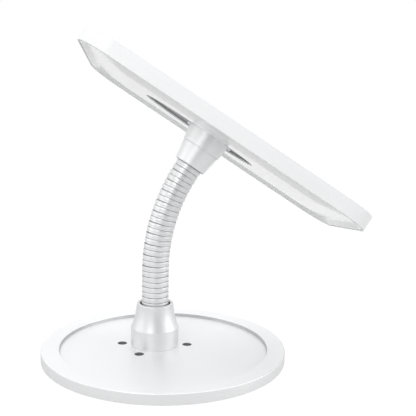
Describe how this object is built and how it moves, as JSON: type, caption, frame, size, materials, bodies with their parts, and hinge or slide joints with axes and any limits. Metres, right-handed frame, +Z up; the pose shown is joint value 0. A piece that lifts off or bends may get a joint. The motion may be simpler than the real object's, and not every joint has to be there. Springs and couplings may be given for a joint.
{
  "type": "anti-theft tablet stand",
  "caption": "Counter-top anti-theft tablet stand: heavy round base, ribbed gooseneck and a swivelling, lockable case with a dished back.",
  "frame": {"origin": "axis of the neck's foot at the table top, the centre of the four bolt holes in the base", "axes": "+Z up; +X along the long side of the rectangle of bolt holes; +Y to the side where the cable leaves the base. The neck leans towards +X, 16.4 degrees towards -Y, and the screen faces that way and up."},
  "size_m": [0.297, 0.2696, 0.2907],
  "materials": {
    "white_metal": "satin white powder coat",
    "rib_white": "satin white coat",
    "grey_plate": "matt grey coat",
    "zinc_steel": "zinc plated",
    "bright_steel": "polished nickel",
    "brass_plug": "machined",
    "black_rubber": "matt",
    "washer_plastic": "self-lubricating"
  },
  "bodies": {
    "base": {"base_plate": "white_metal", "base_pad": "black_rubber", "foot_washer": "zinc_steel", "foot_nut": "zinc_steel", "neck_foot": "zinc_steel", "base_collar": "white_metal", "collar_ring": "black_rubber", "neck_link_01": "rib_white"},
    "link_02": {"neck_link_02": "rib_white"},
    "link_03": {"neck_link_03": "rib_white"},
    "link_04": {"neck_link_04": "rib_white"},
    "link_05": {"neck_link_05": "rib_white"},
    "link_06": {"neck_link_06": "rib_white"},
    "link_07": {"neck_link_07": "rib_white"},
    "link_08": {"neck_link_08": "rib_white"},
    "link_09": {"neck_link_09": "rib_white"},
    "link_10": {"neck_link_10": "rib_white"},
    "link_11": {"neck_link_11": "rib_white"},
    "link_12": {"neck_link_12": "rib_white"},
    "link_13": {"neck_link_13": "rib_white"},
    "head": {"neck_link_14": "rib_white", "head_stem": "zinc_steel", "head_cone": "white_metal", "head_ring": "white_metal", "head_rim_ring": "black_rubber", "swivel_washer": "washer_plastic", "inner_washer": "washer_plastic", "ring_nut": "zinc_steel"},
    "case": {"rear_panel": "white_metal", "mount_plate": "grey_plate", "swivel_boss": "white_metal", "stop_pin": "zinc_steel", "panel_studs": "zinc_steel", "plate_nuts": "zinc_steel", "back_pads": "black_rubber", "edge_blocks": "black_rubber", "lock_keeper": "zinc_steel"},
    "front": {"front_frame": "white_metal", "screen_gasket": "black_rubber", "lock_body": "bright_steel"},
    "plunger": {"lock_plunger": "bright_steel"},
    "plug": {"lock_plug": "brass_plug"}
  },
  "joints": [
    {"name": "neck_fore_01", "type": "hinge", "parent": "base", "child": "link_02", "pos_m": [0, 0, 0.0542], "axis": [0.2823, 0.9593, 0], "range_deg": [-6, 2.5]},
    {"name": "neck_side_02", "type": "hinge", "parent": "link_02", "child": "link_03", "pos_m": [0, 0, 0.0638], "axis": [0.9593, -0.2823, 0], "range_deg": [-4.8, 4.8]},
    {"name": "neck_fore_03", "type": "hinge", "parent": "link_03", "child": "link_04", "pos_m": [0, 0, 0.0734], "axis": [0.2823, 0.9593, 0], "range_deg": [-6, 2.5]},
    {"name": "neck_side_04", "type": "hinge", "parent": "link_04", "child": "link_05", "pos_m": [0, 0, 0.083], "axis": [0.9593, -0.2823, 0], "range_deg": [-4.8, 4.8]},
    {"name": "neck_fore_05", "type": "hinge", "parent": "link_05", "child": "link_06", "pos_m": [0.00054, -0.00016, 0.09258], "axis": [0.2823, 0.9593, 0], "range_deg": [-6, 2.5]},
    {"name": "neck_side_06", "type": "hinge", "parent": "link_06", "child": "link_07", "pos_m": [0.00163, -0.00048, 0.10212], "axis": [0.9526, -0.2804, -0.1181], "range_deg": [-4.8, 4.8]},
    {"name": "neck_fore_07", "type": "hinge", "parent": "link_07", "child": "link_08", "pos_m": [0.00326, -0.00096, 0.11157], "axis": [0.2823, 0.9593, 0], "range_deg": [-6, 2.5]},
    {"name": "neck_side_08", "type": "hinge", "parent": "link_08", "child": "link_09", "pos_m": [0.00542, -0.00159, 0.1209], "axis": [0.9326, -0.2745, -0.2345], "range_deg": [-4.8, 4.8]},
    {"name": "neck_fore_09", "type": "hinge", "parent": "link_09", "child": "link_10", "pos_m": [0.0081, -0.00238, 0.13008], "axis": [0.2823, 0.9593, 0], "range_deg": [-6, 2.5]},
    {"name": "neck_side_10", "type": "hinge", "parent": "link_10", "child": "link_11", "pos_m": [0.0113, -0.00333, 0.13908], "axis": [0.8995, -0.2647, -0.3476], "range_deg": [-4.8, 4.8]},
    {"name": "neck_fore_11", "type": "hinge", "parent": "link_11", "child": "link_12", "pos_m": [0.01501, -0.00442, 0.14787], "axis": [0.2823, 0.9593, 0], "range_deg": [-6, 2.5]},
    {"name": "neck_side_12", "type": "hinge", "parent": "link_12", "child": "link_13", "pos_m": [0.01921, -0.00565, 0.15641], "axis": [0.8538, -0.2513, -0.4559], "range_deg": [-4.8, 4.8]},
    {"name": "neck_fore_13", "type": "hinge", "parent": "link_13", "child": "head", "pos_m": [0.02388, -0.00703, 0.16469], "axis": [0.2823, 0.9593, 0], "range_deg": [-6, 2.5]},
    {"name": "case_swivel", "type": "hinge", "parent": "head", "child": "case", "pos_m": [0.04571, -0.01345, 0.19855], "axis": [0.5351, -0.1575, 0.83], "range_deg": [-73.8, 106.2]},
    {"name": "frame_lift", "type": "slide", "parent": "case", "child": "front", "axis": [0.5351, -0.1575, 0.83], "range_m": [0, 0.03]},
    {"name": "lock_push", "type": "slide", "parent": "front", "child": "plunger", "axis": [-0.4933, -0.8558, 0.1556], "range_m": [0, 0.0035], "stiffness_N_per_m": 400, "springref_m": -0.003},
    {"name": "key_turn", "type": "hinge", "parent": "plunger", "child": "plug", "pos_m": [0.17354, 0.00315, 0.12954], "axis": [0.4933, 0.8558, -0.1556], "range_deg": [-90, 0]}
  ]
}
